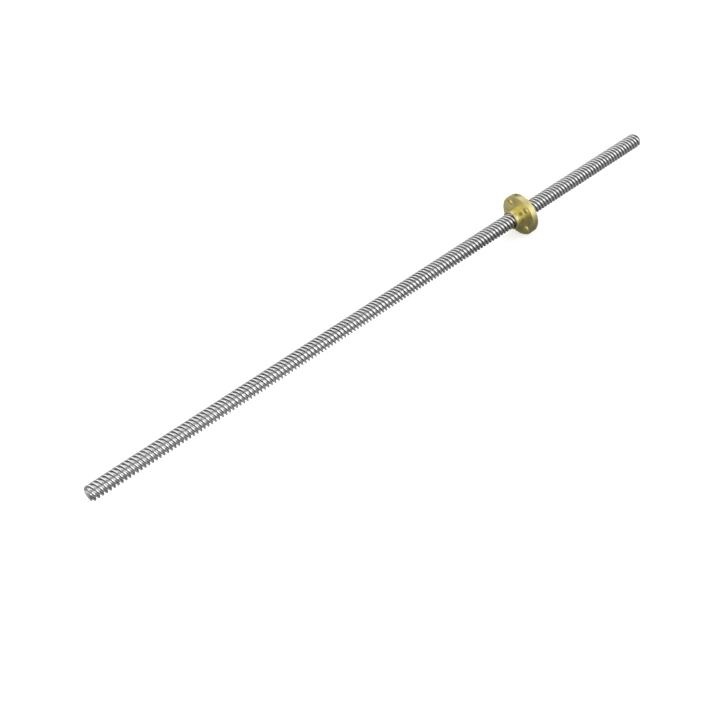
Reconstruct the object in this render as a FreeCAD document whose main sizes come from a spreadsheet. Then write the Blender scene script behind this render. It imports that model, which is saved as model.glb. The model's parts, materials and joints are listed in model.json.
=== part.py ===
import FreeCAD, Part
import Sketcher
import math
import os

# Multi-start trapezoidal lead screw (Tr8x8 P2) with its round flanged brass nut.
# Frame: +X along the screw from its drive end, +Z up, origin at the centre of the drive end's face.
# Lengths are in millimetres, angles in degrees.

DIMENSIONS = {
    # lead screw
    "screw_length": 350.0,
    "crest_diameter": 8.0,
    "root_diameter": 5.5,
    "end_chamfer": 1.0,
    # thread form, shared by the screw and the nut
    "thread_pitch": 2.0,
    "thread_starts": 4,
    "mean_diameter": 7.0,
    "flank_angle": 15.0,
    "axial_play": 0.24,
    "cutter_overlap": 0.3,
    # flanged nut, placed by the flange face on the hub's side
    "nut_position": 260.0,
    "nut_minor_diameter": 6.0,
    "nut_major_diameter": 8.5,
    "mouth_diameter": 8.7,
    "hub_diameter": 10.2,
    "hub_length": 5.5,
    "flange_diameter": 22.0,
    "flange_thickness": 3.5,
    "edge_chamfer": 0.3,
    "hole_diameter": 3.5,
    "hole_circle": 16.0,
    "hole_count": 4,
    "hole_angle": 35.0,
    # plain ring that ends the nut behind the flange
    "ring_length": 1.5,
    "ring_gap": 0.05,
}

Vector = FreeCAD.Vector
doc = FreeCAD.newDocument("lead_screw_with_nut")
dims = doc.addObject("Spreadsheet::Sheet", "dims")
for row, (alias, value) in enumerate(DIMENSIONS.items(), start=1):
    dims.set(f"A{row}", alias)
    dims.set(f"B{row}", str(value))
    dims.setAlias(f"B{row}", alias)
doc.recompute()

LEAD = "(dims.thread_pitch * dims.thread_starts)"


def half(diameter):
    """Expression for the radius that belongs to one of the sheet's diameters."""
    return f"(dims.{diameter} / 2)"


def size(alias):
    """The value of one of the sheet's cells."""
    return float(dims.get(alias))


# ---------------------------------------------------------------- lead screw


def groove_half_width(at_radius):
    """Half the width of the screw's groove at a radius: half the play is taken off the screw's ridges."""
    at_mean = (size("thread_pitch") + size("axial_play")) / 4
    slope = math.tan(math.radians(size("flank_angle")))
    return at_mean + (at_radius - size("mean_diameter") / 2) * slope


def thread_corners():
    """The thread's outline over one lead, as (place along the axis, radius), from one crest's edge on."""
    crest = size("crest_diameter") / 2
    root = size("root_diameter") / 2
    corners = []
    for start in range(int(size("thread_starts"))):
        centre = start * size("thread_pitch")
        corners += [
            (centre - groove_half_width(crest), crest),
            (centre - groove_half_width(root), root),
            (centre + groove_half_width(root), root),
            (centre + groove_half_width(crest), crest),
        ]
    first_place, first_radius = corners[0]
    corners.append((first_place + size("thread_pitch") * size("thread_starts"), first_radius))
    return corners


def moved_along(shape, distance):
    """A copy of a shape moved along the Z axis."""
    copy = shape.copy()
    copy.translate(Vector(0, 0, distance))
    return copy


def thread_end(corners, shift, helix):
    """The two faces that close the thread's surface: a half section, and a helicoid from the axis to helix."""
    outline = [Vector(radius, 0, place + shift) for place, radius in corners]
    upper = Vector(0, 0, outline[-1].z)
    lower = Vector(0, 0, outline[0].z)
    section = Part.Face(Part.makePolygon(outline + [upper, lower, outline[0]]))
    return [section, Part.makeRuledSurface(Part.makeLine(lower, upper), helix)]


def endless_thread():
    """A threaded bar about the Z axis, a little longer than the screw at both ends.

    Every crest, flank and root is one ruled strip per turn, between two right-hand helices.
    """
    lead = size("thread_pitch") * size("thread_starts")
    corners = thread_corners()
    helices = [moved_along(Part.makeHelix(lead, lead, radius).Edges[0], place) for place, radius in corners]
    strips = [Part.makeRuledSurface(low, high) for low, high in zip(helices, helices[1:])]
    last_turn = math.ceil(size("screw_length") / lead)
    faces = [moved_along(strip, turn * lead) for turn in range(-1, last_turn + 1) for strip in strips]
    faces += thread_end(corners, -lead, moved_along(helices[0], -lead))
    faces += thread_end(corners, (last_turn + 1) * lead, moved_along(helices[-1], last_turn * lead))
    surface = Part.Compound(faces)
    surface.sewShape()
    bar = Part.makeSolid(surface.Shells[0])
    if bar.Volume < 0:
        bar.reverse()
    return bar


def chamfered_blank():
    """The rod's outer limits about the Z axis: flat ends with 45 degree chamfers, and wider than the thread between."""
    length = size("screw_length")
    end_radius = size("crest_diameter") / 2 - size("end_chamfer")
    widening = size("end_chamfer") + size("cutter_overlap")
    outline = [
        Vector(0, 0, 0),
        Vector(end_radius, 0, 0),
        Vector(end_radius + widening, 0, widening),
        Vector(end_radius + widening, 0, length - widening),
        Vector(end_radius, 0, length),
        Vector(0, 0, length),
    ]
    profile = Part.Face(Part.makePolygon(outline + outline[:1]))
    return profile.revolve(Vector(0, 0, 0), Vector(0, 0, 1), 360)


def make_lead_screw():
    """The screw, made about the Z axis and laid along +X."""
    screw = doc.addObject("Part::Feature", "lead_screw")
    screw.Label = "lead_screw"
    screw.Shape = endless_thread().common(chamfered_blank()).Solids[0]
    # turns Z to X, X to Y and Y to Z, so that the thread keeps its hand
    screw.Placement = FreeCAD.Placement(Vector(0, 0, 0), FreeCAD.Rotation(Vector(1, 1, 1), 120))
    return screw


# ---------------------------------------------------------------- sketches and features


def new_body(label):
    """An empty body for one sub-part."""
    body = doc.addObject("PartDesign::Body", label)
    body.Label = label
    return body


def origin_feature(body, role):
    """One of the body's own origin planes or axes."""
    return next(item for item in body.Origin.OriginFeatures if item.Role == role)


def new_sketch(body, name, plane):
    """An empty sketch on one of the body's origin planes."""
    sketch = body.newObject("Sketcher::SketchObject", name)
    sketch.AttachmentSupport = [(origin_feature(body, plane), "")]
    sketch.MapMode = "FlatFace"
    return sketch


def add_dimension(sketch, kind, references, value, expression):
    """Add a sketch dimension and bind it to the sheet."""
    index = sketch.addConstraint(Sketcher.Constraint(kind, *references, value))
    sketch.setExpression(f"Constraints[{index}]", expression)


def pin_point(sketch, geometry, point, corner):
    """Fix a sketch point at the x and y that two expressions give."""
    for kind, axis, expression in zip(("DistanceX", "DistanceY"), (-2, -1), corner):
        value = float(sketch.evalExpression(expression))
        if abs(value) < 1e-9:
            sketch.addConstraint(Sketcher.Constraint("PointOnObject", geometry, point, axis))
        else:
            add_dimension(sketch, kind, (-1, 1, geometry, point), value, expression)


def draw_outline(sketch, corners):
    """Draw a closed outline of straight lines through corners given as pairs of expressions."""
    points = [Vector(*[float(sketch.evalExpression(text)) for text in corner], 0) for corner in corners]
    for start, end in zip(points, points[1:] + points[:1]):
        sketch.addGeometry(Part.LineSegment(start, end), False)
    for index, corner in enumerate(corners):
        previous = (index - 1) % len(corners)
        sketch.addConstraint(Sketcher.Constraint("Coincident", previous, 2, index, 1))
        pin_point(sketch, index, 1, corner)


def revolve(body, name, corners):
    """A full turn of an outline about the body's X axis."""
    sketch = new_sketch(body, f"{name}_outline", "XY_Plane")
    draw_outline(sketch, corners)
    feature = body.newObject("PartDesign::Revolution", name)
    feature.Profile = sketch
    feature.ReferenceAxis = (origin_feature(body, "X_Axis"), [""])
    feature.Angle = 360
    doc.recompute()
    return feature


# ---------------------------------------------------------------- flanged nut


def cut_nut_thread(body):
    """Cut all the starts at once with a comb of trapezoidal teeth carried along a right-hand helix."""
    tip = half("nut_major_diameter")
    mouth = f"({half('nut_minor_diameter')} - dims.cutter_overlap)"
    spine = f"({half('nut_minor_diameter')} - 2 * dims.cutter_overlap)"
    # the nut's grooves lie over the screw's ridges, half a pitch from the screw's grooves
    over_ridge = "dims.thread_pitch / 2 - mod(dims.nut_position; dims.thread_pitch)"
    run_in = f"(ceil(dims.hub_length / dims.thread_pitch) * dims.thread_pitch + {LEAD})"
    corners = []
    for start in range(int(size("thread_starts"))):
        centre = f"({over_ridge} - {run_in} + {start} * dims.thread_pitch)"
        for side, radius in (("-", mouth), ("-", tip), ("+", tip), ("+", mouth)):
            narrowing = f"({radius} - {half('mean_diameter')}) * tan(dims.flank_angle * 1 deg)"
            width = f"((dims.thread_pitch + dims.axial_play) / 4 - {narrowing})"
            corners.append((f"{centre} {side} {width}", radius))
    corners += [(corners[-1][0], spine), (corners[0][0], spine)]
    sketch = new_sketch(body, "thread_comb", "XY_Plane")
    draw_outline(sketch, corners)
    thread = body.newObject("PartDesign::SubtractiveHelix", "thread")
    thread.Profile = sketch
    thread.ReferenceAxis = (origin_feature(body, "X_Axis"), [""])
    thread.Mode = "pitch-height-angle"
    thread.setExpression("Pitch", LEAD)
    thread.setExpression("Height", f"dims.hub_length + dims.flange_thickness + 3 * {LEAD}")
    doc.recompute()


def cut_bolt_holes(body):
    """Cut the evenly spaced bolt holes through the flange."""
    sketch = new_sketch(body, "bolt_hole_circle", "YZ_Plane")
    sketch.addGeometry(Part.Circle(Vector(1, 1, 0), Vector(0, 0, 1), 1), False)
    add_dimension(sketch, "Radius", (0,), 1, half("hole_diameter"))
    centre = [f"{half('hole_circle')} * {part}(dims.hole_angle * 1 deg)" for part in ("cos", "sin")]
    pin_point(sketch, 0, 3, centre)
    hole = body.newObject("PartDesign::Pocket", "bolt_hole")
    hole.Profile = sketch
    hole.Type = "ThroughAll"
    hole.Midplane = True
    doc.recompute()
    holes = body.newObject("PartDesign::PolarPattern", "bolt_holes")
    holes.Originals = [hole]
    holes.Axis = (origin_feature(body, "X_Axis"), [""])
    holes.Angle = 360
    holes.setExpression("Occurrences", "dims.hole_count")
    body.Tip = holes
    doc.recompute()


def make_flange_nut():
    """The nut: hub, flange, threaded bore with countersunk mouths, and the bolt holes."""
    body = new_body("flange_nut")
    bore = half("nut_minor_diameter")
    mouth = half("mouth_diameter")
    countersink = f"({mouth} - {bore})"
    hub = half("hub_diameter")
    rim = half("flange_diameter")
    revolve(
        body,
        "blank",
        [
            (f"{countersink} - dims.hub_length", bore),
            ("-dims.hub_length", mouth),
            ("-dims.hub_length", f"{hub} - dims.edge_chamfer"),
            ("dims.edge_chamfer - dims.hub_length", hub),
            ("0", hub),
            ("0", f"{rim} - dims.edge_chamfer"),
            ("dims.edge_chamfer", rim),
            ("dims.flange_thickness - dims.edge_chamfer", rim),
            ("dims.flange_thickness", f"{rim} - dims.edge_chamfer"),
            ("dims.flange_thickness", mouth),
            (f"dims.flange_thickness - {countersink}", bore),
        ],
    )
    cut_nut_thread(body)
    cut_bolt_holes(body)
    body.setExpression("Placement.Base.x", "dims.nut_position")
    return body


def make_nut_end_ring():
    """The plain round ring that ends the nut behind its flange, clear of the screw's crests."""
    body = new_body("nut_end_ring")
    inner = half("mouth_diameter")
    outer = half("hub_diameter")
    revolve(
        body,
        "ring",
        [
            ("0", inner),
            ("0", outer),
            ("dims.ring_length - dims.edge_chamfer", outer),
            ("dims.ring_length", f"{outer} - dims.edge_chamfer"),
            ("dims.ring_length", inner),
        ],
    )
    body.setExpression("Placement.Base.x", "dims.nut_position + dims.flange_thickness + dims.ring_gap")
    return body


sub_parts = [make_lead_screw(), make_flange_nut(), make_nut_end_ring()]
doc.recompute()

for item in doc.Objects:
    if {"Invalid", "Error"} & set(item.State):
        raise RuntimeError(f"{item.Label} failed: {item.State}")
for part in sub_parts:
    if part.Shape.isNull() or not part.Shape.isValid() or len(part.Shape.Solids) != 1:
        raise RuntimeError(f"{part.Label} is not one valid solid")

os.makedirs("parts", exist_ok=True)
for part in sub_parts:
    part.Shape.exportStep(f"parts/{part.Label}.step")
    print(part.Label, "volume", round(part.Shape.Volume, 2), "mm3, faces", len(part.Shape.Faces))
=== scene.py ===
import bisect
import json
import math

import bmesh
import bpy
from mathutils import Matrix, Vector


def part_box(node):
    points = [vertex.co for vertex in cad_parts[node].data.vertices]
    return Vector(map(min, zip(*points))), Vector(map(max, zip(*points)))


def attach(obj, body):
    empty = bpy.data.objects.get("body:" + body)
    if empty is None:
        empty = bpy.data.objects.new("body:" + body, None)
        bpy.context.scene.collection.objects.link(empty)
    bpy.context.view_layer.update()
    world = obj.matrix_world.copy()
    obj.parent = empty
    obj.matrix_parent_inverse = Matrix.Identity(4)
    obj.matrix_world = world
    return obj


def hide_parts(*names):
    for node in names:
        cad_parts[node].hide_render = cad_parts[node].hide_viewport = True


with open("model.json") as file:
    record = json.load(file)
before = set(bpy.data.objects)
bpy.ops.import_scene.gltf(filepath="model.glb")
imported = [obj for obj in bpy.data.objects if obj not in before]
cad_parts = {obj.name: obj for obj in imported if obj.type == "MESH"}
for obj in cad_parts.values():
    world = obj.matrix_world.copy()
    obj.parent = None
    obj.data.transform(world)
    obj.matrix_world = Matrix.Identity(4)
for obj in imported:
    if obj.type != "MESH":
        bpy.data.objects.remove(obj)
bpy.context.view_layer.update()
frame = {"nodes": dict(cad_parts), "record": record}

# A lead screw with a flanged brass nut, on a pale floor. Every length here is in metres and every angle
# in radians, in the CAD frame: +X along the screw from its drive end, +Z up.

MM = 0.001
FULL_TURN = 2 * math.pi

# ---------------------------------------------------------------- sizes

mounts = {mount["name"]: mount for mount in frame["record"]["mounts"]}

screw_low, screw_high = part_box("lead_screw")
nut_low, nut_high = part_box("flange_nut")
ring_low, ring_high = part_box("nut_end_ring")

SCREW_LENGTH = screw_high.x - screw_low.x
CREST_RADIUS = 4.0 * MM
ROOT_RADIUS = 2.75 * MM
END_CHAMFER = 1.0 * MM

PITCH = 2.0 * MM
LEAD = 8.0 * MM                     # assumed, the photo doesn't settle it
MEAN_RADIUS = 3.5 * MM
GROOVE_AT_MEAN = 0.56 * MM          # half the width of either groove at the mean radius
FLANK_SLOPE = math.tan(math.radians(15))

NUT_MINOR_RADIUS = 3.0 * MM
NUT_MAJOR_RADIUS = 4.25 * MM
MOUTH_RADIUS = 4.35 * MM
HUB_RADIUS = mounts["nut_hub"]["dims"]["r_mm"] * MM
FLANGE_FACE_X = mounts["nut_bolts"]["pos_m"][0]
FLANGE_RADIUS = 11.0 * MM
EDGE_ROUND = 0.3 * MM
HOLE_COUNT = mounts["nut_bolts"]["dims"]["count"]
HOLE_CIRCLE_RADIUS = mounts["nut_bolts"]["dims"]["pcd_mm"] / 2 * MM
HOLE_RADIUS = mounts["nut_bolts"]["dims"]["hole_r_mm"] * MM
HOLE_ANGLE = math.radians(35)
HOLE_EDGE = 0.16 * MM
HUB_FILLET = 0.2 * MM
STUB_EDGE = 0.12 * MM

SCREW_COLUMNS = 72                  # points round the screw
NUT_COLUMNS = 96                    # points round the nut
SCREW_END_RINGS = 22
NUT_END_RINGS = 20
HOLE_REACH = 5                      # columns to each side that are woven round a bolt hole
WOVEN_ROWS = 10                     # rows that are woven round it
WOVEN_INSIDE = 2.45 * MM            # how far they reach from the bolt circle, towards the axis
WOVEN_OUTSIDE = 2.35 * MM           # and away from it
HUB_FACE_RING = 4.6 * MM
BACK_FACE_RING = 4.8 * MM
THREAD_END_MARGIN = 0.1 * MM        # from the end of a chamfer to the full thread
MOUTH_MARGIN = 0.05 * MM            # the same at the nut's mouths
SCREW_THREAD_ROUND = 0.13 * MM
NUT_THREAD_ROUND = 0.08 * MM
SHARP_ANGLE = math.radians(38)      # corners sharper than this stay hard

FLOOR_CENTRE_X = 0.18
FLOOR_GAP = 0.05 * MM
DISH_GAP = 0.02 * MM
BUMP_DEPTH = 0.012 * MM
END_FACE_SKIN = 0.02 * MM           # how near an end the steel counts as its flat face
TOOL_MARK_SCALE = 5200.0            # per metre

# Brightness of the studio's parts. All but the sky's are seen only in the metals' reflections.
SKY_LIGHT = 1.45
UNDER_LIGHT = 0.32                  # floor below the screw and on the camera's side of it
FLOOR_LIGHT = 0.85                  # floor behind it
ROOM_LIGHT = 0.12                   # the room's far side, low down
NUT_SPOT = 0.07                     # where along the floor, from its middle, the nut darkens it
NUT_SHADE = 0.5                     # the share of light left there

# The sky's dark gap, on a plane 1 overhead, and how much brighter the camera's side of the sky is.
GAP_SLANT = 0.9
GAP_OFFSET = 0.5
GAP_HALF_WIDTHS = (0.2, 0.48)       # fully dark up to the first, gone at the second
GAP_DARKNESS = 0.98
HORIZON = 0.05                      # lower than this the gap no longer stretches
NEAR_SKY = 1.45

CAMERA_PLACE = Vector((-0.0847, -0.2820, 0.4431))
CAMERA_RIGHT = Vector((0.764, -0.645, 0.0))
CAMERA_FORWARD = Vector((0.3953, 0.4683, -0.7902))


# ---------------------------------------------------------------- mesh building


class Surface:
    """A mesh in the making, whose points are shared wherever they fall together."""

    GRID = 1e-8

    def __init__(self):
        self.points = []
        self.faces = []
        self.known = {}

    def point(self, x, angle, radius):
        """The index of a point about the X axis. Angles run from +Y towards +Z."""
        place = (x, radius * math.cos(angle), radius * math.sin(angle))
        key = tuple(round(c / self.GRID) for c in place)
        if key not in self.known:
            self.known[key] = len(self.points)
            self.points.append(place)
        return self.known[key]

    def face(self, *corners):
        """A face through corners, leaving out any that fall together."""
        kept = [c for i, c in enumerate(corners) if c != corners[i - 1]]
        if len(set(kept)) > 2:
            self.faces.append(kept)

    def strip(self, low, high, closed=True):
        """Quads between two rows of points of the same length."""
        count = len(low)
        for i in range(count if closed else count - 1):
            j = (i + 1) % count
            self.face(low[i], low[j], high[j], high[i])

    def finish(self, name, material):
        """The mesh object, with its normals turned outwards and its shading smooth save at corners."""
        mesh = bpy.data.meshes.new(name)
        mesh.from_pydata(self.points, [], self.faces)
        mesh.validate()
        piece = bpy.data.objects.new(name, mesh)
        bpy.context.scene.collection.objects.link(piece)
        bm = bmesh.new()
        bm.from_mesh(mesh)
        bmesh.ops.recalc_face_normals(bm, faces=bm.faces)
        bm.to_mesh(mesh)
        bm.free()
        mesh.shade_smooth()
        mesh.set_sharp_from_angle(angle=SHARP_ANGLE)
        mesh.materials.append(material)
        return piece


def rounded(outline, radius, steps, wrap):
    """An outline that repeats every wrap, with each corner replaced by a short curve."""
    count = len(outline)
    made = []
    for i, (x, r) in enumerate(outline):
        corner = Vector((x, r))
        before = Vector(outline[i - 1]) - Vector((wrap if i == 0 else 0, 0))
        after = Vector(outline[(i + 1) % count]) + Vector((wrap if i == count - 1 else 0, 0))
        start = corner + (before - corner).normalized() * radius
        end = corner + (after - corner).normalized() * radius
        for step in range(steps + 1):
            t = step / steps
            made.append(tuple(start.lerp(corner, t).lerp(corner.lerp(end, t), t)))
    return made


class Thread:
    """A multi-start thread about the X axis, whose outline repeats every pitch."""

    def __init__(self, outline):
        self.outline = outline
        self.knots = outline + [(outline[0][0] + PITCH, outline[0][1])]
        self.places = [x for x, _ in self.knots]

    def radius(self, x, angle):
        """The thread's radius at a place along the axis and an angle round it."""
        along = (x - LEAD * angle / FULL_TURN - self.places[0]) % PITCH + self.places[0]
        after = min(max(bisect.bisect_right(self.places, along), 1), len(self.places) - 1)
        (x0, r0), (x1, r1) = self.knots[after - 1], self.knots[after]
        return r0 + (r1 - r0) * (along - x0) / (x1 - x0)

    def wrap_bar(self, surface, low, high, columns, first_angle):
        """Strips that follow the helices between two planes, clipped to those planes."""
        angles = [first_angle + FULL_TURN * j / columns for j in range(columns + 1)]
        turn_start = LEAD * angles[0] / FULL_TURN
        first = math.floor((low - turn_start - LEAD) / PITCH) - 1
        last = math.ceil((high - turn_start) / PITCH) + 1
        places = [k * PITCH + x for k in range(first, last) for x, _ in self.outline]
        previous = None
        for place in places:
            row = []
            for angle in angles:
                x = min(max(place + LEAD * angle / FULL_TURN, low), high)
                row.append(surface.point(x, angle, self.radius(x, angle)))
            if previous:
                surface.strip(previous, row, closed=False)
            previous = row

    def rings(self, surface, places, columns, first_angle, limit):
        """Plain rings across the thread near an end, where a cone limits it.

        Returns the first and last ring.
        """
        angles = [first_angle + FULL_TURN * j / columns for j in range(columns)]
        made = [[surface.point(x, a, limit(self.radius(x, a), x)) for a in angles] for x in places]
        for low, high in zip(made, made[1:]):
            surface.strip(low, high)
        return made[0], made[-1]


def spaced(low, high, count):
    """Evenly spaced numbers from low to high, both included."""
    return [low + (high - low) * i / count for i in range(count + 1)]


# ---------------------------------------------------------------- the pieces


def build_screw(material):
    """The screw: four starts with softly rounded crests and roots, chamfers and flat end faces."""
    crest_half = GROOVE_AT_MEAN + (CREST_RADIUS - MEAN_RADIUS) * FLANK_SLOPE
    root_half = GROOVE_AT_MEAN + (ROOT_RADIUS - MEAN_RADIUS) * FLANK_SLOPE
    groove = [
        (-crest_half, CREST_RADIUS),
        (-root_half, ROOT_RADIUS),
        (root_half, ROOT_RADIUS),
        (crest_half, CREST_RADIUS),
    ]
    thread = Thread(rounded(groove, SCREW_THREAD_ROUND, 3, PITCH))
    surface = Surface()
    end_zone = END_CHAMFER + THREAD_END_MARGIN
    face_radius = CREST_RADIUS - END_CHAMFER

    def chamfered(radius, x):
        return min(radius, face_radius + min(x, SCREW_LENGTH - x))

    thread.wrap_bar(surface, end_zone, SCREW_LENGTH - end_zone, SCREW_COLUMNS, 0)
    near_places = spaced(0, end_zone, SCREW_END_RINGS)
    far_places = spaced(SCREW_LENGTH - end_zone, SCREW_LENGTH, SCREW_END_RINGS)
    near_face, _ = thread.rings(surface, near_places, SCREW_COLUMNS, 0, chamfered)
    _, far_face = thread.rings(surface, far_places, SCREW_COLUMNS, 0, chamfered)
    for x, outer in ((0, near_face), (SCREW_LENGTH, far_face)):
        for share in (0.7, 0.4, 0.15):
            inner = [
                surface.point(x, FULL_TURN * j / SCREW_COLUMNS, share * face_radius)
                for j in range(SCREW_COLUMNS)
            ]
            surface.strip(outer, inner)
            outer = inner
        centre = surface.point(x, 0, 0)
        for j in range(SCREW_COLUMNS):
            surface.face(outer[j], outer[(j + 1) % SCREW_COLUMNS], centre)
    return surface.finish("screw_bar", material)


def arc_outline(centre_x, centre_r, radius, start, end, steps):
    """Points of an arc in an outline, as (x, radius).

    Angles are in degrees, from +X towards a larger radius.
    """
    turns = [math.radians(a) for a in spaced(start, end, steps)]
    return [(centre_x + radius * math.cos(a), centre_r + radius * math.sin(a)) for a in turns]


def ring_of(surface, x, radius):
    """One full ring of the nut's points."""
    turns = [HOLE_ANGLE + FULL_TURN * j / NUT_COLUMNS for j in range(NUT_COLUMNS)]
    return [surface.point(x, angle, radius) for angle in turns]


def turn_outline(surface, outline):
    """A full turn of an outline of (x, radius) pairs."""
    for (x0, r0), (x1, r1) in zip(outline, outline[1:]):
        surface.strip(ring_of(surface, x0, r0), ring_of(surface, x1, r1))


def drilled_face(surface, x, inward, radii, patch):
    """A flat ring with the bolt holes through it.

    The rows from patch[0] to patch[1] are woven round each hole. inward is the way into the metal
    along X. Returns one ring of points inside each hole, past its broken edge.
    """
    per_hole = NUT_COLUMNS // HOLE_COUNT
    reach = HOLE_REACH
    low_row, high_row = patch
    hole_rings = []
    for row in range(len(radii) - 1):
        for column in range(NUT_COLUMNS):
            offset = (column + per_hole // 2) % per_hole - per_hole // 2
            if low_row <= row < high_row and -reach <= offset < reach:
                continue
            a0 = HOLE_ANGLE + FULL_TURN * column / NUT_COLUMNS
            a1 = HOLE_ANGLE + FULL_TURN * (column + 1) / NUT_COLUMNS
            surface.face(
                surface.point(x, a0, radii[row]),
                surface.point(x, a1, radii[row]),
                surface.point(x, a1, radii[row + 1]),
                surface.point(x, a0, radii[row + 1]),
            )
    for hole in range(HOLE_COUNT):
        middle = HOLE_ANGLE + FULL_TURN * hole / HOLE_COUNT
        step = FULL_TURN / NUT_COLUMNS
        border = [(middle + step * i, radii[low_row]) for i in range(-reach, reach)]
        border += [(middle + step * reach, radii[row]) for row in range(low_row, high_row)]
        border += [(middle + step * i, radii[high_row]) for i in range(reach, -reach, -1)]
        border += [(middle - step * reach, radii[row]) for row in range(high_row, low_row, -1)]
        centre = Vector((HOLE_CIRCLE_RADIUS * math.cos(middle), HOLE_CIRCLE_RADIUS * math.sin(middle)))
        edge = [Vector((r * math.cos(a), r * math.sin(a))) for a, r in border]
        first = math.atan2(edge[0].y - centre.y, edge[0].x - centre.x)
        count = len(edge)

        def circle(radius, depth):
            """A ring of points round the hole, in step with the border."""
            made = []
            for i in range(count):
                turn = first - FULL_TURN * i / count
                y = centre.x + radius * math.cos(turn)
                z = centre.y + radius * math.sin(turn)
                made.append(surface.point(x + depth * inward, math.atan2(z, y), math.hypot(y, z)))
            return made

        rows = [[surface.point(x, a, r) for a, r in border]]
        rim = HOLE_RADIUS + HOLE_EDGE
        for share in (1 / 3, 2 / 3):
            row = []
            for i in range(count):
                turn = first - FULL_TURN * i / count
                on_rim = centre + rim * Vector((math.cos(turn), math.sin(turn)))
                spot = edge[i].lerp(on_rim, share)
                row.append(surface.point(x, math.atan2(spot.y, spot.x), spot.length))
            rows.append(row)
        for angle in (0, 30, 60, 90):
            away = HOLE_EDGE * (1 - math.sin(math.radians(angle)))
            depth = HOLE_EDGE * (1 - math.cos(math.radians(angle)))
            rows.append(circle(HOLE_RADIUS + away, depth))
        for outer, inner in zip(rows, rows[1:]):
            surface.strip(outer, inner)
        hole_rings.append(rows[-1])
    return hole_rings


def build_nut(material):
    """The flanged nut: hub, drilled flange and the four-start thread inside, as one closed mesh."""
    hub_end, back = nut_low.x, nut_high.x
    groove_top = GROOVE_AT_MEAN - (NUT_MAJOR_RADIUS - MEAN_RADIUS) * FLANK_SLOPE
    groove_mouth = GROOVE_AT_MEAN - (NUT_MINOR_RADIUS - MEAN_RADIUS) * FLANK_SLOPE
    over_ridge = PITCH / 2
    groove = [
        (over_ridge - groove_mouth, NUT_MINOR_RADIUS),
        (over_ridge - groove_top, NUT_MAJOR_RADIUS),
        (over_ridge + groove_top, NUT_MAJOR_RADIUS),
        (over_ridge + groove_mouth, NUT_MINOR_RADIUS),
    ]
    thread = Thread(rounded(groove, NUT_THREAD_ROUND, 2, PITCH))
    surface = Surface()
    mouth_depth = MOUTH_RADIUS - NUT_MINOR_RADIUS + MOUTH_MARGIN

    def countersunk(radius, x):
        return max(radius, MOUTH_RADIUS - min(x - hub_end, back - x))

    inner_low, inner_high = hub_end + mouth_depth, back - mouth_depth
    thread.wrap_bar(surface, inner_low, inner_high, NUT_COLUMNS, HOLE_ANGLE)
    for low, high in ((hub_end, inner_low), (inner_high, back)):
        places = spaced(low, high, NUT_END_RINGS)
        thread.rings(surface, places, NUT_COLUMNS, HOLE_ANGLE, countersunk)

    hub = [(hub_end, MOUTH_RADIUS), (hub_end, HUB_FACE_RING)]
    hub += arc_outline(hub_end + EDGE_ROUND, HUB_RADIUS - EDGE_ROUND, EDGE_ROUND, 180, 90, 6)
    hub += [(hub_end + share * (FLANGE_FACE_X - hub_end), HUB_RADIUS) for share in (0.35, 0.65)]
    hub += arc_outline(FLANGE_FACE_X - HUB_FILLET, HUB_RADIUS + HUB_FILLET, HUB_FILLET, -90, 0, 5)
    turn_outline(surface, hub)

    rim_low, rim_high = FLANGE_RADIUS - EDGE_ROUND, FLANGE_RADIUS
    rim = arc_outline(FLANGE_FACE_X + EDGE_ROUND, rim_low, EDGE_ROUND, 180, 90, 6)
    rim += [(FLANGE_FACE_X + share * (back - FLANGE_FACE_X), rim_high) for share in (0.35, 0.65)]
    rim += arc_outline(back - EDGE_ROUND, rim_low, EDGE_ROUND, 90, 0, 6)
    turn_outline(surface, rim)

    woven_low, woven_high = HOLE_CIRCLE_RADIUS - WOVEN_INSIDE, HOLE_CIRCLE_RADIUS + WOVEN_OUTSIDE
    woven = spaced(woven_low, woven_high, WOVEN_ROWS)
    front_radii = [HUB_RADIUS + HUB_FILLET] + woven + [rim_low]
    back_radii = [MOUTH_RADIUS, BACK_FACE_RING] + woven + [rim_low]
    front_holes = drilled_face(surface, FLANGE_FACE_X, 1, front_radii, (1, 1 + WOVEN_ROWS))
    back_holes = drilled_face(surface, back, -1, back_radii, (2, 2 + WOVEN_ROWS))
    for low, high in zip(front_holes, back_holes):
        surface.strip(low, high)
    return surface.finish("nut_flanged", material)


def build_end_ring(material):
    """The plain round stub that ends the nut behind its flange."""
    low, high = ring_low.x, ring_high.x
    edge = STUB_EDGE
    outline = arc_outline(low + edge, MOUTH_RADIUS + edge, edge, 270, 180, 4)
    outline += arc_outline(low + edge, HUB_RADIUS - edge, edge, 180, 90, 4)
    outline += arc_outline(high - EDGE_ROUND, HUB_RADIUS - EDGE_ROUND, EDGE_ROUND, 90, 0, 6)
    outline += arc_outline(high - edge, MOUTH_RADIUS + edge, edge, 0, -90, 4)
    surface = Surface()
    turn_outline(surface, outline + outline[:1])
    return surface.finish("nut_stub", material)


# ---------------------------------------------------------------- materials


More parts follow.
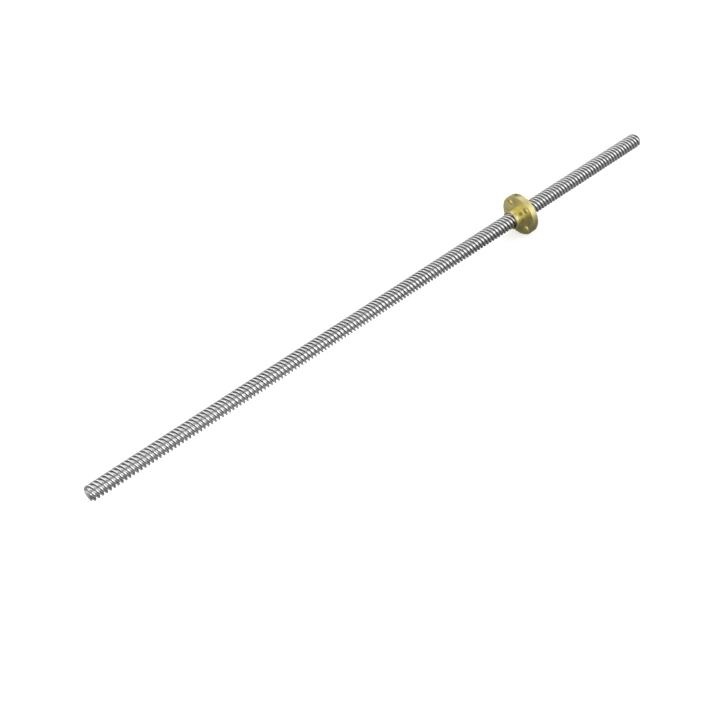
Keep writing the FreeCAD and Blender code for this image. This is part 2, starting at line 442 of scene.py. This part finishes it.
class Nodes:
    """Short ways to add nodes to a material's or a world's tree, which starts empty."""

    def __init__(self, tree):
        self.tree = tree
        self.tree.nodes.clear()

    def put(self, socket, value):
        """Set a socket, or link it if value is another node's output."""
        if isinstance(value, bpy.types.NodeSocket):
            self.tree.links.new(value, socket)
        else:
            socket.default_value = value

    def add(self, kind, inputs=(), **settings):
        """A node with its settings, and its inputs by place or name."""
        node = self.tree.nodes.new(kind)
        for key, value in settings.items():
            setattr(node, key, value)
        for key, value in dict(inputs).items():
            self.put(node.inputs[key], value)
        return node

    def math(self, operation, a, b=0.0):
        """A Math node's result."""
        return self.add("ShaderNodeMath", {0: a, 1: b}, operation=operation).outputs[0]

    def remap(self, value, low, high, to_low=0.0, to_high=1.0):
        """value taken smoothly from one range to another."""
        inputs = {
            "Value": value,
            "From Min": low,
            "From Max": high,
            "To Min": to_low,
            "To Max": to_high,
        }
        node = self.add("ShaderNodeMapRange", inputs, interpolation_type="SMOOTHSTEP")
        return node.outputs["Result"]

    def mix(self, factor, a, b):
        """One colour blended into another."""
        node = self.add("ShaderNodeMix", {"Factor": factor}, data_type="RGBA")
        self.put(node.inputs[6], a)
        self.put(node.inputs[7], b)
        return node.outputs[2]

    def vector(self, x=0.0, y=0.0, z=0.0):
        """Three numbers as one vector."""
        return self.add("ShaderNodeCombineXYZ", {0: x, 1: y, 2: z}).outputs[0]

    def noise(self, vector, scale, detail=2.0, roughness=0.5, distortion=0.0):
        """Noise between 0 and 1."""
        inputs = {
            "Vector": vector,
            "Scale": scale,
            "Detail": detail,
            "Roughness": roughness,
            "Distortion": distortion,
        }
        return self.add("ShaderNodeTexNoise", inputs).outputs["Fac"]

    def ramp(self, value, stops):
        """A colour ramp from (place, colour) stops."""
        node = self.add("ShaderNodeValToRGB", {"Fac": value})
        elements = node.color_ramp.elements
        elements[0].position, elements[0].color = stops[0]
        elements[1].position, elements[1].color = stops[-1]
        for place, color in stops[1:-1]:
            elements.new(place).color = color
        return node.outputs["Color"]

    def coordinates(self, kind):
        """One kind of texture coordinate, whole and split into x, y and z."""
        whole = self.add("ShaderNodeTexCoord").outputs[kind]
        return whole, self.add("ShaderNodeSeparateXYZ", {0: whole}).outputs

    def scaled(self, value, factor):
        """value times factor."""
        return self.math("MULTIPLY", value, factor)


class MaterialNodes(Nodes):
    """The nodes of one new material, round a Principled shader."""

    def __init__(self, name):
        self.material = bpy.data.materials.new(name)
        self.material.use_nodes = True
        super().__init__(self.material.node_tree)
        self.shader = self.add("ShaderNodeBsdfPrincipled")
        self.add("ShaderNodeOutputMaterial", {"Surface": self.shader.outputs["BSDF"]})

    def set(self, **inputs):
        """The shader's inputs, by name with spaces as underscores."""
        for key, value in inputs.items():
            self.put(self.shader.inputs[key.replace("_", " ")], value)

    def bump(self, height, strength):
        """Link a height into the shader's normal."""
        inputs = {"Height": height, "Strength": strength, "Distance": BUMP_DEPTH}
        self.set(Normal=self.add("ShaderNodeBump", inputs).outputs["Normal"])


def grey(level):
    """An opaque grey."""
    return (level, level, level, 1)


def from_axis(n, parts):
    """The radius of a spot from the X axis."""
    y_squared, z_squared = n.math("POWER", parts[1], 2.0), n.math("POWER", parts[2], 2.0)
    return n.math("SQRT", n.math("ADD", y_squared, z_squared))


def steel_material():
    """Bright rolled steel: polished crests, grooves darkened with painted shade and some oil, faint
    rolling marks along the helix.
    """
    n = MaterialNodes("rolled_steel")
    whole, parts = n.coordinates("Object")
    x, radius = parts[0], from_axis(n, parts)
    angle = n.math("ARCTAN2", parts[2], parts[1])
    unrolled = n.math("SUBTRACT", x, n.scaled(angle, LEAD / FULL_TURN))
    turn = n.scaled(unrolled, FULL_TURN / LEAD)
    helix = n.vector(n.math("COSINE", turn), n.math("SINE", turn), n.scaled(radius, 900.0))
    rolling = n.noise(helix, 26.0, 3.0, 0.6)
    cloud = n.noise(whole, 55.0, 3.0, 0.55, 0.6)
    grain = n.noise(whole, 2600.0, 2.0, 0.6)
    turned = n.noise(n.vector(n.scaled(radius, 5000.0)), 1.0, 2.0, 0.6)

    # Colour, from the groove's bottom and flanks to the crests, with the flat end faces on top.
    crest = n.remap(radius, CREST_RADIUS - 0.45 * MM, CREST_RADIUS - 0.08 * MM)
    bottom = n.remap(radius, ROOT_RADIUS + 0.08 * MM, ROOT_RADIUS + 0.35 * MM, 1.0, 0.0)
    # Painted shade, with some oil: the sides of the grooves are a dark grey.
    shaded_flank = n.mix(cloud, (0.22, 0.22, 0.225, 1), (0.40, 0.40, 0.405, 1))
    bright = n.mix(rolling, (0.76, 0.76, 0.765, 1), (0.95, 0.95, 0.945, 1))
    bright = n.mix(n.remap(cloud, 0.5, 0.8, 0.0, 0.3), bright, (0.66, 0.655, 0.64, 1))
    color = n.mix(crest, n.mix(bottom, shaded_flank, grey(0.72)), bright)
    near_face = n.math("LESS_THAN", x, END_FACE_SKIN)
    far_face = n.math("GREATER_THAN", x, SCREW_LENGTH - END_FACE_SKIN)
    face = n.math("ADD", near_face, far_face)
    color = n.mix(face, color, n.mix(turned, grey(0.42), (0.72, 0.72, 0.71, 1)))

    rough = n.remap(crest, 0.0, 1.0, 0.32, 0.16)
    unevenness = n.remap(n.math("ADD", rolling, cloud), 0.6, 1.4, -0.05, 0.12)
    n.set(Base_Color=color, Metallic=1.0, Roughness=n.math("ADD", rough, unevenness))
    height = n.math("ADD", n.scaled(rolling, 0.6), n.scaled(grain, 0.25))
    n.bump(n.math("ADD", height, n.scaled(n.math("MULTIPLY", face, turned), 0.6)), 0.5)
    return n.material


def brass_material():
    """Turned brass: fine concentric tool marks, uneven olive tarnish and a painted sheen along the tool
    marks.
    """
    n = MaterialNodes("turned_brass")
    whole, parts = n.coordinates("Object")
    radius = from_axis(n, parts)
    marks = n.vector(n.scaled(parts[0], TOOL_MARK_SCALE), n.scaled(radius, TOOL_MARK_SCALE))
    turned = n.noise(marks, 1.0, 3.0, 0.65)
    broad = n.noise(marks, 0.22, 2.0, 0.5)
    cloud = n.noise(whole, 190.0, 4.0, 0.6, 0.8)
    grain = n.noise(whole, 3800.0, 2.0, 0.6)

    # Colour, from dark olive to pale, with a painted sheen along the tool marks and painted shade inside
    # the bore.
    tarnish = [
        (0.28, (0.53, 0.43, 0.13, 1)),
        (0.48, (0.68, 0.59, 0.25, 1)),
        (0.72, (0.82, 0.76, 0.40, 1)),
    ]
    color = n.ramp(n.math("ADD", n.scaled(cloud, 0.6), n.scaled(broad, 0.4)), tarnish)
    # Paler along the tool marks: a painted sheen on the turned rings.
    color = n.mix(n.remap(turned, 0.3, 0.75, 0.0, 0.35), color, (0.88, 0.83, 0.45, 1))
    # Painted shade darkens the bore and its thread.
    inside = n.remap(radius, MOUTH_RADIUS - 0.05 * MM, MOUTH_RADIUS + 0.1 * MM, 1.0, 0.0)
    color = n.mix(n.scaled(inside, 0.65), color, (0.10, 0.075, 0.03, 1))

    tangent = n.add("ShaderNodeTangent", direction_type="RADIAL", axis="X").outputs[0]
    rough = n.remap(n.math("ADD", cloud, turned), 0.6, 1.4, 0.24, 0.42)
    n.set(Base_Color=color, Metallic=1.0, Anisotropic=0.6, Tangent=tangent, Roughness=rough)
    n.bump(n.math("ADD", n.scaled(turned, 0.7), n.scaled(grain, 0.2)), 0.45)
    return n.material


# ---------------------------------------------------------------- assemble

steel = steel_material()
brass = brass_material()

for node, material in (("lead_screw", steel), ("flange_nut", brass), ("nut_end_ring", brass)):
    frame["nodes"][node].data.materials.clear()
    frame["nodes"][node].data.materials.append(material)

for piece, body, node, slot in (
    (build_screw(steel), "screw", "lead_screw", "steel"),
    (build_nut(brass), "nut", "flange_nut", "brass"),
    (build_end_ring(brass), "nut_carrier", "nut_end_ring", "brass"),
):
    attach(piece, body)
    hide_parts(node)


# ---------------------------------------------------------------- floor, light and camera


def build_floor():
    """A wide pale floor just under the flange."""
    bm = bmesh.new()
    bmesh.ops.create_grid(bm, x_segments=8, y_segments=8, size=6.0)
    mesh = bpy.data.meshes.new("floor")
    bm.to_mesh(mesh)
    bm.free()
    floor = bpy.data.objects.new("floor", mesh)
    floor.location = (FLOOR_CENTRE_X, 0, nut_low.z - FLOOR_GAP)
    bpy.context.scene.collection.objects.link(floor)
    n = MaterialNodes("pale_floor")
    whole, _ = n.coordinates("Object")
    color = n.mix(n.noise(whole, 3.0), grey(0.955), grey(0.975))
    n.set(Base_Color=color, Roughness=0.9, Specular_IOR_Level=0.1)
    mesh.materials.append(n.material)
    return floor


def dish_light(n, x, y, z):
    """How bright the dish is at a spot: the floor's light near the screw, the sky's up its wall."""
    # Darker under the screw and round the nut: a painted shadow of the object on the floor. It is darker
    # too on the camera's side.
    behind = n.remap(y, 0.004, 0.012, UNDER_LIGHT, FLOOR_LIGHT)
    far_off = n.remap(y, 0.06, 0.16, 0.0, FLOOR_LIGHT - ROOM_LIGHT)
    from_nut = n.math("ABSOLUTE", n.math("SUBTRACT", x, NUT_SPOT))
    shade = n.remap(from_nut, 0.012, 0.05, NUT_SHADE, 1.0)
    ground = n.math("MULTIPLY", n.math("SUBTRACT", behind, far_off), shade)
    dark_corner = n.math("MULTIPLY", n.remap(x, 0.3, 1.5, 0.0, 0.6), n.remap(y, -0.2, 0.4))
    wall = n.remap(n.math("SUBTRACT", z, dark_corner), 0.12, 0.75, 0.0, SKY_LIGHT)
    return n.math("MAXIMUM", ground, wall)


def build_card(floor):
    """A grey dish on the floor that only reflections see, so that the metals have dark edges."""
    floor_radius, bend, top = 2.0, 0.2, 1.3
    profile = [(r, 0.0) for r in (0.0, 0.4, 1.0, 1.6, floor_radius)]
    profile += [
        (floor_radius + bend * math.sin(a), bend - bend * math.cos(a)) for a in spaced(0.3, 1.5, 4)
    ]
    profile += [(floor_radius + bend, height) for height in spaced(0.3, top, 10)]
    columns = 64
    turns = [FULL_TURN * j / columns for j in range(columns)]
    vertices = [(r * math.cos(a), r * math.sin(a), z) for r, z in profile for a in turns]
    faces = []
    for row in range(0, len(profile) * columns - columns, columns):
        for j in range(columns):
            k = (j + 1) % columns
            faces.append((row + j, row + k, row + columns + k, row + columns + j))
    mesh = bpy.data.meshes.new("grey_card")
    mesh.from_pydata(vertices, [], faces)
    card = bpy.data.objects.new("grey_card", mesh)
    card.location = floor.location + Vector((0, 0, DISH_GAP))
    bpy.context.scene.collection.objects.link(card)
    for kind in ("camera", "diffuse", "transmission", "volume_scatter", "shadow"):
        setattr(card, f"visible_{kind}", False)
    n = MaterialNodes("grey_card")
    _, parts = n.coordinates("Object")
    n.set(Base_Color=grey(0), Specular_IOR_Level=0.0, Emission_Color=grey(1))
    n.set(Emission_Strength=dish_light(n, *list(parts)))
    mesh.materials.append(n.material)


def build_world():
    """A pale studio sky, brighter low on the camera's side.

    A slanting dark gap overhead draws the dark lines along the metals.
    """
    world = bpy.data.worlds.new("studio")
    bpy.context.scene.world = world
    world.use_nodes = True
    n = Nodes(world.node_tree)
    _, parts = n.coordinates("Generated")
    height = n.math("MAXIMUM", parts[2], HORIZON)
    along = n.math("DIVIDE", parts[0], height)
    slanted = n.math("SUBTRACT", n.math("DIVIDE", parts[1], height), n.scaled(along, GAP_SLANT))
    across = n.math("ABSOLUTE", n.math("ADD", slanted, GAP_OFFSET))
    gap = n.math("MULTIPLY", n.remap(across, *GAP_HALF_WIDTHS, 1.0, 0.0), n.remap(along, -1.2, -0.2))
    gap = n.math("MULTIPLY", gap, n.remap(along, 0.15, 1.0, 1.0, 0.1))
    strength = n.scaled(n.math("SUBTRACT", 1.0, n.scaled(gap, GAP_DARKNESS)), SKY_LIGHT)
    strength = n.math("MULTIPLY", strength, n.remap(parts[1], -0.7, -0.25, NEAR_SKY, 1.0))
    background = n.add("ShaderNodeBackground", {"Strength": strength})
    n.add("ShaderNodeOutputWorld", {"Surface": background.outputs["Background"]})


def area_light(name, place, target, size, power):
    """A square soft box that faces a point, with no shadow and no reflection of its own."""
    light = bpy.data.lights.new(name, "AREA")
    light.use_shadow = False
    light.energy = power
    light.size = size
    lamp = bpy.data.objects.new(name, light)
    lamp.visible_glossy = False
    bpy.context.scene.collection.objects.link(lamp)
    lamp.location = place
    lamp.rotation_mode = "QUATERNION"
    lamp.rotation_quaternion = (Vector(target) - Vector(place)).to_track_quat("-Z", "Y")


def build_camera():
    """The camera, looking along the screw from its near end and down on it."""
    right = CAMERA_RIGHT.normalized()
    forward = CAMERA_FORWARD.normalized()
    up = right.cross(forward)
    data = bpy.data.cameras.new("camera")
    data.sensor_width = 36
    data.lens = 60
    data.clip_start = 0.01
    data.clip_end = 50
    camera = bpy.data.objects.new("camera", data)
    bpy.context.scene.collection.objects.link(camera)
    turn = Matrix((right, up, -forward)).transposed().to_4x4()
    camera.matrix_world = Matrix.Translation(CAMERA_PLACE) @ turn
    bpy.context.scene.camera = camera


build_card(build_floor())
build_world()
area_light("key", place=(-0.24, 0.05, 0.86), target=(0.26, 0, 0), size=0.4, power=4)
build_camera()
bpy.context.scene.view_settings.view_transform = "Standard"
